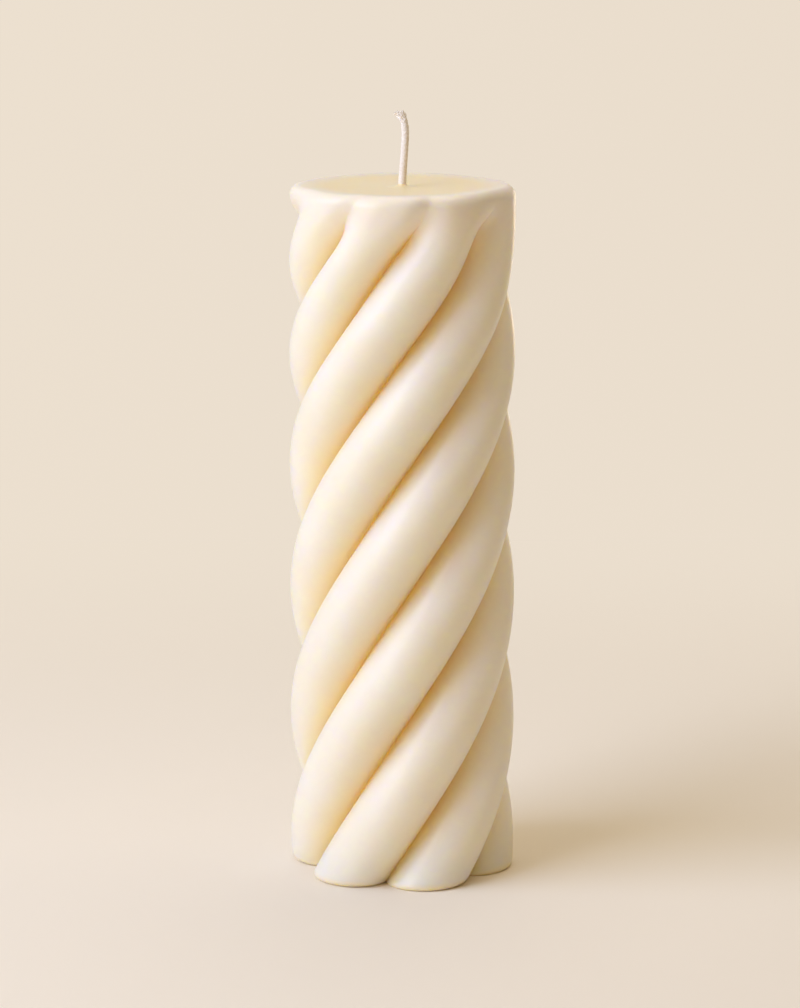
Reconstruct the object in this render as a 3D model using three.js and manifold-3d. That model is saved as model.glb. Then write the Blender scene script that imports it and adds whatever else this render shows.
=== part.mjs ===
// Swirl pillar candle: a wax casting whose six rounded lobes wind round it like the strands of a rope, with
// a braided wick down the middle, a drop of wax that seals the wick at the top, and a crimped tinplate
// sustainer in the foot. Millimetres and degrees, +Z up, the origin in the middle of the foot, the front
// towards -Y.

import * as THREE from 'three';
import { mergeVertices } from 'three/addons/utils/BufferGeometryUtils.js';
import Module from 'manifold-3d';

const wasm = await Module();
wasm.setup();

// Wax pillar
const pillarHeight = 200.2;        // foot to the highest ring of the top
const footDiameter = 65.4;         // over the lobe crowns at the foot
const topDiameter = 64.6;          // over the lobe crowns at the top, drawn in to leave the mould
const lobeCount = 6;
const grooveDepth = 9.5;           // lobe crown to the bottom of the groove
const lobeThickness = 20.2;        // a lobe's whole thickness, measured along the pillar's radius
const firstCrownAngle = -42.4;     // one crown at the foot, counted from the front towards the right
const footLeadLength = 226;        // height of one full turn near the foot, rising to the right
const topLeadLength = 173;         // height of one full turn near the top, where the twist tightens
const leadEasing = 3;              // how late the twist tightens: the power of the height that it follows
const gatherRightAngle = 30;       // how far the grooves on the right crowd towards the front at the top
const gatherRightHeight = 42;      // stretch under the top over which they do
const gatherLeftAngle = 28;        // the same on the left
const gatherLeftHeight = 80;
const rimBandHeight = 2.5;         // stretch under the top where the grooves are only faint scallops
const grooveRunOutHeight = 15;     // stretch below it over which they grow to their full depth
const grooveAtRim = 0.14;          // share of the groove's depth that is left in the rim
const hollowPower = 2;             // how narrow the soft hollows are into which the grooves run out
const topEdgeRadius = 3.2;
const footEdgeRadius = 1.6;
const topDishDepth = 0.7;          // how far the middle of the top sank while the wax cooled

// Wick
const wickDiameter = 2.4;
const wickFreeLength = 21.8;       // along the wick, from the top of the wax to its tip
const wickLeanAngle = 4;           // by which the free wick leans to the right
const wickCurlAngle = 50;          // by which its tip then bends to the left
const wickCurlLength = 11.6;
const wickCurlEasing = 3;          // how late the bend comes: the power of the length that it follows
const wickFlareLength = 3.8;       // the loose end of the braid
const wickFlareRatio = 1.5;        // how much wider the loose end is than the braid
const wickSettlingLength = 3;      // stretch over which the wick comes out of the wax and takes its lean

// Wick bore, left by the pin that stands in the mould
const boreClearance = 0.3;         // between the wick and the wax
const boreMouthDepth = 1.5;        // countersink at the top, filled by the seal

// Wick seal, a drop of wax poured round the wick
const sealGap = 0.3;               // between the seal and the wax of the countersink
const sealClearance = 0.15;        // between the seal and the wick
const sealLipWidth = 1.6;          // how far the drop spreads over the top beyond the countersink
const sealHeight = 0.9;            // how far it climbs the wick
const sealEdgeThickness = 0.15;    // thickness of its thin edges
const sealSpotWidth = 1.4;         // level wax left round the drop, before the top rises to the rim

// Wick sustainer, stamped from tinplate
const sheetThickness = 0.4;
const discDiameter = 15;
const neckHeight = 6;              // above the disc
const neckClearance = 0.3;         // between the wick and the neck, before crimping
const neckFilletRadius = 0.8;      // where the neck is drawn out of the disc
const crimpCount = 4;
const crimpDepth = 0.15;
const crimpHeight = 2.2;           // length of each dent along the neck
const beadRadius = 5.2;            // the stiffening ring pressed into the disc
const beadWidth = 1.4;
const beadHeight = 0.3;

// Recess in the foot that takes the sustainer
const recessStandOffHeight = 0.4;  // from the surface under the candle to the disc
const recessGap = 0.3;             // between the disc and the wax, above and around it
const neckGap = 0.3;               // between the neck and the wax

const weldDistance = 1e-4;         // points nearer than this are one corner of the mesh

// Steps of the curved faces
const stepsPerLobe = 12;
const shaftSteps = 43;
const runOutSteps = 7;
const edgeSteps = 4;
const dishSteps = 3;
const roundSteps = 40;
const filletSteps = 3;
const sealSteps = 4;
const sealSides = 24;
const wickSides = 12;
const wickSteps = 18;

const rad = THREE.MathUtils.degToRad;
const lerp = THREE.MathUtils.lerp;

/** The part's front is -Y, and directions are counted from there towards +X. */
function fromFront(angle, radius, z) {
  return new THREE.Vector3(radius * Math.sin(angle), -radius * Math.cos(angle), z);
}

/** Joins a stack of equally long rings into one closed body, with a fan over the first ring and the last. */
function bodyFromRings(rings) {
  const count = rings[0].length;
  const position = rings.flat().flatMap((p) => [p.x, p.y, p.z]);
  const index = [];
  const at = (ring, i) => ring * count + (i % count);
  for (let ring = 0; ring < rings.length - 1; ring++) {
    for (let i = 0; i < count; i++) {
      index.push(at(ring, i), at(ring, i + 1), at(ring + 1, i + 1));
      index.push(at(ring, i), at(ring + 1, i + 1), at(ring + 1, i));
    }
  }
  for (const [ring, flipped] of [[0, true], [rings.length - 1, false]]) {
    const middle = rings[ring].reduce((sum, p) => sum.add(p), new THREE.Vector3()).divideScalar(count);
    const hub = position.length / 3;
    position.push(middle.x, middle.y, middle.z);
    for (let i = 0; i < count; i++) {
      index.push(hub, at(ring, flipped ? i + 1 : i), at(ring, flipped ? i : i + 1));
    }
  }
  const geometry = new THREE.BufferGeometry();
  geometry.setAttribute('position', new THREE.Float32BufferAttribute(position, 3));
  geometry.setIndex(index);
  return geometry;
}

/** Turns a profile of [radius, height] points round the Z axis. */
function revolve(profile, segments = roundSteps) {
  const points = profile.map(([radius, height]) => new THREE.Vector2(radius, height));
  return new THREE.LatheGeometry(points, segments).rotateX(Math.PI / 2);
}

function toManifold(geometry) {
  const bare = geometry.clone();
  bare.deleteAttribute('normal');
  bare.deleteAttribute('uv');
  const merged = mergeVertices(bare, weldDistance);
  const vertProperties = new Float32Array(merged.attributes.position.array);
  const triVerts = new Uint32Array(merged.index.array);
  return new wasm.Manifold(new wasm.Mesh({ numProp: 3, vertProperties, triVerts }));
}

function subtract(geometry, cutter) {
  const mesh = toManifold(geometry).subtract(toManifold(cutter)).getMesh();
  const result = new THREE.BufferGeometry();
  result.setAttribute('position', new THREE.Float32BufferAttribute(mesh.vertProperties, 3));
  result.setIndex(new THREE.Uint32BufferAttribute(mesh.triVerts, 1));
  return result;
}

// Sizes that follow from the ones above
const creaseAngle = Math.PI / lobeCount;
const wickRadius = wickDiameter / 2;
const boreRadius = wickRadius + boreClearance;
const boreMouthRadius = boreRadius + boreMouthDepth;
const sealLipRadius = boreMouthRadius + sealLipWidth;
const topLevel = pillarHeight - topDishDepth;
const discUnderside = recessStandOffHeight;
const discTop = discUnderside + sheetThickness;
const neckInnerRadius = wickRadius + neckClearance;
const neckOuterRadius = neckInnerRadius + sheetThickness;
const neckTop = discTop + neckHeight;
const wickFoot = discUnderside + sheetThickness / 2;

/** Radius of the lobe crowns at a height. */
function crownRadius(z) {
  return lerp(footDiameter, topDiameter, z / pillarHeight) / 2;
}

/** Angle by which the section at a height is turned: the lead shortens from the foot to the top. */
function twist(z) {
  const share = z / pillarHeight;
  const footRate = (2 * Math.PI * pillarHeight) / footLeadLength;
  const topRate = (2 * Math.PI * pillarHeight) / topLeadLength;
  return rad(firstCrownAngle) + footRate * share
    + (topRate - footRate) * share ** (leadEasing + 1) / (leadEasing + 1);
}

/** A direction after the crowding: under the top the grooves move towards the front, most at the top. */
function gathered(angle, z) {
  const nearTop = (stretch) => Math.max(0, 1 - (pillarHeight - z) / stretch) ** 2;
  const aside = Math.sin(angle);
  return angle - rad(gatherRightAngle) * nearTop(gatherRightHeight) * Math.max(0, aside)
    + rad(gatherLeftAngle) * nearTop(gatherLeftHeight) * Math.min(0, aside) ** 2;
}

/**
 * One lobe of the section as [angle, depth under the crown], from crease to crease. The lobe is an arc of an
 * ellipse that lies along the rim and meets its neighbour at the bottom of the groove.
 */
function lobeOutline() {
  const crown = crownRadius(pillarHeight / 2);
  const creaseRadius = crown - grooveDepth;
  const halfThickness = lobeThickness / 2;
  const middle = crown - halfThickness;
  const creaseAlong = (creaseRadius * Math.cos(creaseAngle) - middle) / halfThickness;
  const halfWidth = (creaseRadius * Math.sin(creaseAngle)) / Math.sqrt(1 - creaseAlong ** 2);
  const arcEnd = Math.acos(creaseAlong);
  const outline = [];
  for (let step = 0; step < stepsPerLobe; step++) {
    const turn = lerp(-arcEnd, arcEnd, step / stepsPerLobe);
    const x = middle + halfThickness * Math.cos(turn);
    const y = halfWidth * Math.sin(turn);
    outline.push([Math.atan2(y, x), crown - Math.hypot(x, y)]);
  }
  return outline;
}

/** Share of the groove's depth at a height: all of it along the shaft, easing out under the top. */
function grooveShare(z) {
  const fullDepth = rimBandHeight + grooveRunOutHeight;
  const grown = THREE.MathUtils.smoothstep(pillarHeight - z, rimBandHeight, fullDepth);
  return lerp(grooveAtRim, 1, grown);
}

/** The whole lobed section at a height, drawn in by an inset. Where a groove runs out it is a soft hollow. */
function section(outline, z, inset = 0) {
  const ring = [];
  const share = grooveShare(z);
  for (let lobe = 0; lobe < lobeCount; lobe++) {
    for (const [angle, depth] of outline) {
      const hollow = grooveDepth * ((1 - Math.cos(lobeCount * angle)) / 2) ** hollowPower;
      const radius = crownRadius(z) - share * lerp(hollow, depth, share) - inset;
      ring.push(fromFront(gathered(twist(z) + 2 * creaseAngle * lobe + angle, z), radius, z));
    }
  }
  return ring;
}

/** Outer form of the casting, from the rounded foot edge up the lobes and over the rim into the dish. */
function pillarForm() {
  const outline = lobeOutline();
  const rings = [];
  for (let step = 0; step < edgeSteps; step++) {
    const turn = (Math.PI / 2) * (step / edgeSteps);
    const z = footEdgeRadius * (1 - Math.cos(turn));
    rings.push(section(outline, z, footEdgeRadius * (1 - Math.sin(turn))));
  }
  const runOutStart = pillarHeight - rimBandHeight - grooveRunOutHeight;
  for (let step = 0; step < shaftSteps; step++) {
    rings.push(section(outline, lerp(footEdgeRadius, runOutStart, step / shaftSteps)));
  }
  for (let step = 0; step < runOutSteps; step++) {
    rings.push(section(outline, lerp(runOutStart, pillarHeight - topEdgeRadius, step / runOutSteps)));
  }
  for (let step = 0; step <= edgeSteps; step++) {
    const turn = (Math.PI / 2) * (step / edgeSteps);
    const z = pillarHeight - topEdgeRadius * (1 - Math.sin(turn));
    rings.push(section(outline, z, topEdgeRadius * (1 - Math.cos(turn))));
  }
  const rim = rings.at(-1);
  for (let step = 1; step <= dishSteps; step++) {
    const share = step / dishSteps;
    const z = pillarHeight - topDishDepth * Math.sin((Math.PI / 2) * share);
    rings.push(rim.map((p) => {
      const spot = new THREE.Vector3(p.x, p.y, 0).setLength(sealLipRadius + sealSpotWidth);
      return new THREE.Vector3(lerp(p.x, spot.x, share), lerp(p.y, spot.y, share), z);
    }));
  }
  return bodyFromRings(rings);
}

/** What is left out of the casting down its middle: recess, neck hole, wick bore and countersink. */
function coreCutter() {
  const beyond = 1;
  const recessRadius = discDiameter / 2 + recessGap;
  const recessTop = discTop + beadHeight + recessGap;
  const neckHoleRadius = neckOuterRadius + neckGap;
  const neckHoleTop = neckTop + neckGap;
  return revolve([
    [0, -beyond],
    [recessRadius, -beyond],
    [recessRadius, recessTop],
    [neckHoleRadius + neckFilletRadius, recessTop],
    [neckHoleRadius, recessTop + neckFilletRadius],
    [neckHoleRadius, neckHoleTop],
    [boreRadius, neckHoleTop + (neckHoleRadius - boreRadius)],
    [boreRadius, topLevel - boreMouthDepth],
    [boreMouthRadius, topLevel],
    [boreMouthRadius + beyond, topLevel + beyond],
    [0, topLevel + beyond],
  ]);
}

/** The wick from the sustainer to its curled tip. It leans to the right, then curls back to the left. */
function wickForm() {
  const path = [];
  const at = new THREE.Vector2(0, topLevel);
  const stride = wickFreeLength / wickSteps;
  const curlStart = wickFreeLength - wickCurlLength;
  for (let step = 0; step <= wickSteps; step++) {
    const along = step * stride;
    const settled = THREE.MathUtils.smoothstep(along, 0, wickSettlingLength);
    const curl = Math.max(0, (along - curlStart) / wickCurlLength) ** wickCurlEasing;
    const heading = rad(wickLeanAngle * settled - wickCurlAngle * curl);
    const loose = Math.max(0, 1 - (wickFreeLength - along) / wickFlareLength);
    path.push({ x: at.x, z: at.y, heading, radius: wickRadius * lerp(1, wickFlareRatio, loose) });
    at.add(new THREE.Vector2(Math.sin(heading), Math.cos(heading)).multiplyScalar(stride));
  }
  path.unshift({ x: 0, z: wickFoot, heading: 0, radius: wickRadius });
  const rings = path.map(({ x, z, heading, radius }) => {
    const ring = [];
    for (let side = 0; side < wickSides; side++) {
      const turn = (2 * Math.PI * side) / wickSides;
      const across = radius * Math.cos(turn);
      const deep = radius * Math.sin(turn);
      ring.push(new THREE.Vector3(x + across * Math.cos(heading), deep, z - across * Math.sin(heading)));
    }
    return ring;
  });
  return bodyFromRings(rings);
}

/** The drop of wax: a plug in the countersink, a lip on the level spot and a hollow curve up the wick. */
function sealForm() {
  const inner = wickRadius + sealClearance;
  const plugRadius = boreMouthRadius - sealGap * Math.SQRT2;
  const plugFoot = topLevel - (plugRadius - inner - sealEdgeThickness);
  const profile = [
    [inner, plugFoot],
    [inner + sealEdgeThickness, plugFoot],
    [plugRadius, topLevel],
    [sealLipRadius, topLevel],
    [sealLipRadius, topLevel + sealEdgeThickness],
  ];
  for (let step = 1; step <= sealSteps; step++) {
    const turn = (Math.PI / 2) * (step / sealSteps);
    const radius = lerp(sealLipRadius, inner + sealEdgeThickness, Math.sin(turn));
    profile.push([radius, topLevel + lerp(sealHeight, sealEdgeThickness, Math.cos(turn))]);
  }
  profile.push([inner, topLevel + sealHeight]);
  profile.push([inner, plugFoot]);
  return revolve(profile, sealSides);
}

/** The stamped disc with its drawn neck. The crimps pinch the neck on to the wick. */
function sustainerForm() {
  const profile = [
    [neckOuterRadius, discUnderside],
    [beadRadius - beadWidth / 2, discUnderside],
    [beadRadius, discUnderside + beadHeight],
    [beadRadius + beadWidth / 2, discUnderside],
    [discDiameter / 2, discUnderside],
    [discDiameter / 2, discTop],
    [beadRadius + beadWidth / 2, discTop],
    [beadRadius, discTop + beadHeight],
    [beadRadius - beadWidth / 2, discTop],
  ];
  for (let step = 0; step <= filletSteps; step++) {
    const turn = (Math.PI / 2) * (step / filletSteps);
    const radius = neckOuterRadius + neckFilletRadius * (1 - Math.sin(turn));
    profile.push([radius, discTop + neckFilletRadius * (1 - Math.cos(turn))]);
  }
  const crimpMiddle = (discTop + neckFilletRadius + neckTop) / 2;
  const neckLevels = [-1, 0, 1].map((share) => crimpMiddle + (share * crimpHeight) / 2);
  for (const z of neckLevels) profile.push([neckOuterRadius, z]);
  profile.push([neckOuterRadius, neckTop]);
  profile.push([neckInnerRadius, neckTop]);
  for (const z of [...neckLevels].reverse()) profile.push([neckInnerRadius, z]);
  profile.push([neckInnerRadius, discTop]);
  profile.push([neckOuterRadius, discUnderside]);
  const geometry = revolve(profile);
  const position = geometry.attributes.position;
  for (let i = 0; i < position.count; i++) {
    const along = Math.abs(position.getZ(i) - crimpMiddle) / (crimpHeight / 2);
    if (along >= 1) continue;
    const angle = Math.atan2(position.getY(i), position.getX(i));
    const dent = crimpDepth * Math.cos((crimpCount * angle) / 2) ** 2 * Math.cos((along * Math.PI) / 2);
    const radius = Math.hypot(position.getX(i), position.getY(i));
    position.setX(i, (position.getX(i) * (radius - dent)) / radius);
    position.setY(i, (position.getY(i) * (radius - dent)) / radius);
  }
  return geometry;
}

const castWax = new THREE.MeshStandardMaterial({ color: '#f3e8d2', roughness: 0.45, metalness: 0 });
const topUpWax = new THREE.MeshStandardMaterial({ color: '#f6eddb', roughness: 0.4, metalness: 0 });
const cotton = new THREE.MeshStandardMaterial({ color: '#f4efe8', roughness: 0.9, metalness: 0 });
const tinplate = new THREE.MeshStandardMaterial({ color: '#c9c8c4', roughness: 0.35, metalness: 1 });

function piece(name, geometry, material) {
  const mesh = new THREE.Mesh(geometry, material);
  mesh.name = name;
  return mesh;
}

const candle = new THREE.Group();
candle.add(piece('wax_pillar', subtract(pillarForm(), coreCutter()), castWax));
candle.add(piece('wick', wickForm(), cotton));
candle.add(piece('wick_seal', sealForm(), topUpWax));
candle.add(piece('wick_sustainer', sustainerForm(), tinplate));

export default candle;
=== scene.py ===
# %% [markdown]
# A twisted pillar candle is one casting of wax round one wick. Six rounded lobes wind round it like the
# strands of a rope, the grooves between them fade out under a flat top, and a curled cotton wick stands in
# the middle. The measured model gives every piece its size and place. This lesson gives them their fine
# surface and their finish: the wax, the plaited cotton, the drop of wax at its foot and the tin in the base.

# %% Load the measured model
from functools import partial
from math import cos, pi, radians, sin, sqrt

import bmesh
import bpy
import numpy as np
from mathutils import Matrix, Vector


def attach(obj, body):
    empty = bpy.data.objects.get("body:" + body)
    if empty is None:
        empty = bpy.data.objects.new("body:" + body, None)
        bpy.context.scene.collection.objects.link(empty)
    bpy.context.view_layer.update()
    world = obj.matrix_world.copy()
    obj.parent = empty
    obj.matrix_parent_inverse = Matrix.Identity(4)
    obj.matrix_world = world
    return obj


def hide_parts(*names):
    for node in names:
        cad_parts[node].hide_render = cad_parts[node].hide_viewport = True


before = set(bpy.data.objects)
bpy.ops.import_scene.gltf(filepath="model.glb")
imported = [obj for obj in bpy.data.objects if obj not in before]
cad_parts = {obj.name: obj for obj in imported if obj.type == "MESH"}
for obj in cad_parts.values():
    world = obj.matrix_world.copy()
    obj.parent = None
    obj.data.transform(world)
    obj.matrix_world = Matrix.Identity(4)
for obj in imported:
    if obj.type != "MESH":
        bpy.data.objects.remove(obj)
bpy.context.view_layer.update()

MM = 0.001
print("pieces of the measured model:", sorted(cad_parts))

# %% [markdown]
# Four small helpers serve the whole lesson. A colour is picked on screen as an sRGB hex code, but Blender
# reckons in linear light, so the first converts it. Node trees are long lists of nodes and links, so the
# second adds a node, sets it and wires its inputs in a single readable line. Where a tree is built, it is
# called put and knows its tree, and for a sum the name of the operation, such as MULTIPLY, is enough. The
# third starts an empty material, and the last prints what a piece has become, which is how a mistake shows
# before any picture is rendered.

# %% Helpers for colours and nodes
def hex_colour(code):
    """Linear RGBA of an sRGB hex code such as #f3e8d2."""
    parts = [int(code[at:at + 2], 16) / 255 for at in (1, 3, 5)]
    return [c / 12.92 if c <= 0.04045 else ((c + 0.055) / 1.055) ** 2.4 for c in parts] + [1.0]


def add(tree, kind, inputs=(), **settings):
    """Adds one node with its settings, or a Math node where the kind is an operation in capitals.

    Inputs go by place or by name, and take values, sockets or nodes.
    """
    if kind.isupper():
        kind, settings = "ShaderNodeMath", {"operation": kind}
    node = tree.nodes.new(kind)
    for name, value in settings.items():
        setattr(node, name, value)
    for key, value in inputs.items() if isinstance(inputs, dict) else enumerate(inputs):
        sockets = [socket for socket in node.inputs if socket.enabled]
        socket = sockets[key] if isinstance(key, int) else next(s for s in sockets if s.name == key)
        if isinstance(value, bpy.types.Node):
            value = next(output for output in value.outputs if output.enabled)
        if isinstance(value, bpy.types.NodeSocket):
            tree.links.new(value, socket)
        else:
            socket.default_value = value
    return node


def new_material(name):
    """An empty node material, and the function that puts nodes into it."""
    material = bpy.data.materials.new(name)
    material.use_nodes = True
    material.node_tree.nodes.clear()
    return material, partial(add, material.node_tree)


def describe(piece):
    """Prints a piece's size, its count of triangles and whether it is a closed solid facing outwards."""
    solid = bmesh.new()
    solid.from_mesh(piece.data)
    closed = all(edge.is_manifold for edge in solid.edges)
    triangles = sum(len(face.verts) - 2 for face in solid.faces)
    volume = solid.calc_volume(signed=True) / MM ** 3
    solid.free()
    size = ", ".join(f"{side / MM:.1f}" for side in piece.dimensions)
    print(f"{piece.name}: {size} mm, {triangles} triangles, closed {closed}, volume {volume:.0f} mm3")


# %% [markdown]
# Geometry Nodes make the shapes that follow a rule. Each tree is built here in the script, with its sizes as
# named inputs. A carrier object holds the line or outline that the tree works on. Once the tree has run, the
# result is copied out as a plain mesh, because a finished piece should carry no live modifier.

# %% Helpers for Geometry Nodes
def new_tree(name, sizes):
    """A Geometry Nodes tree with a named input for each size.

    With it come the function that puts nodes into it and the sockets where it begins and ends.
    """
    kinds = {float: "NodeSocketFloat", int: "NodeSocketInt", bpy.types.Material: "NodeSocketMaterial"}
    tree = bpy.data.node_groups.new(name, "GeometryNodeTree")
    tree.interface.new_socket("Geometry", in_out="INPUT", socket_type="NodeSocketGeometry")
    for label, value in sizes.items():
        tree.interface.new_socket(label, in_out="INPUT", socket_type=kinds[type(value)])
    tree.interface.new_socket("Geometry", in_out="OUTPUT", socket_type="NodeSocketGeometry")
    begins, ends = [tree.nodes.new(kind) for kind in ("NodeGroupInput", "NodeGroupOutput")]
    return tree, partial(add, tree), begins.outputs, ends.inputs


def line_carrier(points, **attributes):
    """A mesh object that is only a chain of points, in metres, with a value per point in each attribute."""
    mesh = bpy.data.meshes.new("carrier")
    mesh.from_pydata(points, [(i, i + 1) for i in range(len(points) - 1)], [])
    for label, values in attributes.items():
        mesh.attributes.new(label, "FLOAT", "POINT").data.foreach_set("value", values)
    carrier = bpy.data.objects.new("carrier", mesh)
    bpy.context.collection.objects.link(carrier)
    return carrier


def grow(name, tree, carrier, sizes):
    """Runs a tree on a carrier with these sizes and keeps the result as a plain mesh object."""
    modifier = carrier.modifiers.new("grow", "NODES")
    modifier.node_group = tree
    for item in tree.interface.items_tree:
        if item.in_out == "INPUT" and item.name in sizes:
            modifier[item.identifier] = sizes[item.name]
    graph = bpy.context.evaluated_depsgraph_get()
    grown = carrier.evaluated_get(graph)
    mesh = bpy.data.meshes.new_from_object(grown, preserve_all_data_layers=True, depsgraph=graph)
    carrier.modifiers.remove(modifier)
    bpy.data.objects.remove(carrier)
    piece = bpy.data.objects.new(name, mesh)
    bpy.context.collection.objects.link(piece)
    return piece


# %% [markdown]
# Camera first, so that every later step can be judged in the picture. The photograph is a product shot taken
# with a long lens from a little over a metre away and slightly above: the grooves, the foot and the top of
# the candle only line up from there. A long lens keeps the sides of the pillar almost parallel.

# %% Camera
LENS = 132.4                  # mm of focal length, on a sensor 36 mm along its longer side
EYE = Vector((-0.64, -1051.8, 322.1)) * MM
LOOK_DOWN = radians(11.54)

camera = bpy.data.objects.new("camera", bpy.data.cameras.new("camera"))
camera.data.lens = LENS
camera.data.sensor_width = 36.0
camera.location = EYE
camera.rotation_euler = (pi / 2 - LOOK_DOWN, 0, 0)
bpy.context.collection.objects.link(camera)
bpy.context.scene.camera = camera
print(f"camera {EYE.length:.3f} m from the foot, looking down by {LOOK_DOWN * 180 / pi:.1f} degrees")

# %% [markdown]
# The candle is cast in one go from an ivory blend of paraffin and vegetable wax. Wax is never opaque: light
# goes in, scatters for some millimetres and comes out warmer, because wax swallows blue before red. That is
# why thick parts look creamy and the grooves glow honey yellow. The model for this is subsurface scattering,
# with a longer path for red and green than for blue. At the foot and in the rim the path is cut short,
# because the model loses the light that leaves through an edge, and the edge would turn grey.
#
# A silicone mould gives wax a satin skin, with a slight unevenness over a centimetre or so, a very fine
# grain and a thin gloss over both. Faint clouds show where it set at different speeds. Light and shade are
# also painted into the colour in gold: a painted glow in the narrow grooves, painted shade on the open face
# at the top and a painted contact shade along the edge of the foot.

# %% Cast wax
WAX_IVORY = "#f6efe4"
WAX_CLOUD = "#f4ebda"
WAX_PAINTED_GOLD = "#fee5b4"         # painted gold: glow in the grooves, shade on the open face and at the foot
GROOVE_PAINTED_GLOW = 0.9             # share of the painted glow at the bottom of a groove
FOOT_PAINTED_SHADE = 0.95           # share of the painted contact shade along the edge that the candle stands on
FOOT_SHADE_HEIGHTS = 0.0, 2.4 * MM  # heights between which that painted shade fades out
OPEN_FACE = 0, 0, 199.5 * MM  # middle of the face that cools in the air
OPEN_FACE_PAINTED_SHADE = 22 * MM, 29 * MM    # from there: where its painted shade begins to fade, and where it ends
CLOUD_SIZE = 22 * MM          # across one cloud in the wax
WAVE_SIZE, WAVE_DEPTH = 14 * MM, 0.12 * MM       # one soft unevenness of the skin
GRAIN_SIZE, GRAIN_DEPTH = 0.45 * MM, 0.02 * MM   # crystals that dull the gloss
WAX_PATH = 1.0, 0.85, 0.27    # how far red, green and blue travel, as shares of the longest path
PILLAR_PATH = 17 * MM         # the longest path in the casting
FOOT_ZONE = 0.0, 7 * MM       # heights between which the path grows from short to full
TOP_ZONE = 184 * MM, 198 * MM        # and between which it shrinks again
FOOT_PATH, RIM_PATH = 0.01, 0.06     # shares of the path that are left there


def wax_material(name, ivory, cloud, longest_path, roughness, open_face_shade):
    """Cast wax: clouded body colour, painted glow and shade in gold, light scattered inside and a satin
    skin.
    """
    material, put = new_material(name)
    place = put("ShaderNodeTexCoord").outputs["Object"]
    height = put("ShaderNodeSeparateXYZ", (place,)).outputs[2]
    clouds = put("ShaderNodeTexNoise", {"Vector": place, "Scale": 1 / CLOUD_SIZE, "Detail": 3.0})
    cloudy = put("ShaderNodeMapRange", (clouds, 0.35, 0.7, 0.0, 1.0))
    body = put("ShaderNodeMix", {"Factor": cloudy, "A": hex_colour(ivory), "B": hex_colour(cloud)},
               data_type="RGBA")

    # painted light in gold: glow in the grooves, shade on the open face and along the foot; the most golden
    # of the three counts
    groove = put("ShaderNodeAttribute", attribute_name="groove").outputs["Fac"]
    deep = put("ShaderNodeMapRange", (groove, 0.05, 1.0, 0.0, GROOVE_PAINTED_GLOW), interpolation_type="SMOOTHSTEP")
    from_wick = put("ShaderNodeVectorMath", (place, OPEN_FACE), operation="DISTANCE").outputs["Value"]
    open_face_shaded = put("ShaderNodeMapRange", (from_wick, *OPEN_FACE_PAINTED_SHADE, open_face_shade, 0.0))
    pressed = put("ShaderNodeMapRange", (height, *FOOT_SHADE_HEIGHTS, FOOT_PAINTED_SHADE, 0.0))
    golden = put("MAXIMUM", (put("MAXIMUM", (deep, open_face_shaded)), pressed))
    painted_tint = put("ShaderNodeMix", {"Factor": golden, "A": body.outputs[2], "B": hex_colour(WAX_PAINTED_GOLD)},
               data_type="RGBA")

    # the skin: soft waves with the grain of the crystals on them
    waves = put("ShaderNodeTexNoise", {"Vector": place, "Scale": 1 / WAVE_SIZE, "Detail": 1.0})
    skin = put("ShaderNodeBump", {"Strength": 1.0, "Distance": WAVE_DEPTH, "Height": waves})
    grain = put("ShaderNodeTexNoise", {"Vector": place, "Scale": 1 / GRAIN_SIZE, "Detail": 2.0})
    frosted = put("ShaderNodeBump",
                  {"Strength": 0.35, "Distance": GRAIN_DEPTH, "Height": grain, "Normal": skin})
    satin = put("ShaderNodeMapRange", (clouds, 0.3, 0.75, roughness - 0.05, roughness + 0.06))

    # how far light travels inside
    low = put("ShaderNodeMapRange", (height, *FOOT_ZONE, FOOT_PATH * longest_path, longest_path))
    high = put("ShaderNodeMapRange", (height, *TOP_ZONE, longest_path, RIM_PATH * longest_path))
    shader = put("ShaderNodeBsdfPrincipled", {
        "Base Color": painted_tint.outputs[2], "Roughness": satin, "IOR": 1.44, "Normal": frosted,
        "Subsurface Weight": 1.0, "Subsurface Radius": WAX_PATH,
        "Subsurface Scale": put("MINIMUM", (low, high)),
        "Coat Weight": 0.25, "Coat Roughness": 0.24, "Coat IOR": 1.44})
    put("ShaderNodeOutputMaterial", {"Surface": shader})
    return material


# the last number is the share of painted shade on the open face
cast_wax = wax_material("cast_paraffin_wax_satin", WAX_IVORY, WAX_CLOUD, PILLAR_PATH, 0.42, 0.85)
print("material:", cast_wax.name)

# %% [markdown]
# The casting could be sculpted, or a star-shaped curve could be swept up a helix. It is made here the way
# its pattern was: from one section with six lobes, turned a little more at every height. A tree of Geometry
# Nodes wraps a flat grid round the axis. Its columns run along the lobes and its rings follow a drawn
# profile that goes out under the foot, up the side, over the rim, into the dished top and back down the
# wick bore. Each column knows how deep the groove is there and each ring knows what share of that depth it
# takes, so the same tree also gives plain turned shapes where the share is zero.

# %% Sizes of the casting
PILLAR = dict(height=200.2, foot=65.4, top=64.6, lobes=6, groove=9.5, lobe=20.2)
WAIST = 100.0                 # mm of height at which a lobe is measured
FIRST_CROWN = -42.4           # degrees from the front towards the right, at the foot
FOOT_LEAD = 226.0             # mm of height for one full turn near the foot
TOP_LEAD = 173.0              # the same near the top, where the twist tightens
LEAD_EASING = 3.0             # how late it tightens
GATHER_RIGHT, GATHER_RIGHT_HEIGHT = 30.0, 42.0   # degrees by which the grooves on the right crowd
GATHER_LEFT, GATHER_LEFT_HEIGHT = 28.0, 80.0     # forwards at the top, and mm under it where that begins
GROOVE_FLOOR = 1.1            # mm over which the walls of a groove round into its bottom
RIM_BAND, GROOVE_RUN_OUT = 2.5, 15.0     # mm of rim above a groove, and mm over which it runs out
GROOVE_AT_RIM = 0.14          # share of the groove's depth that is left in the rim
FOOT_EDGE, TOP_EDGE, TOP_DISH = 1.6, 3.2, 0.7    # mm: the rounded edges, and how deep the top is dished

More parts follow.
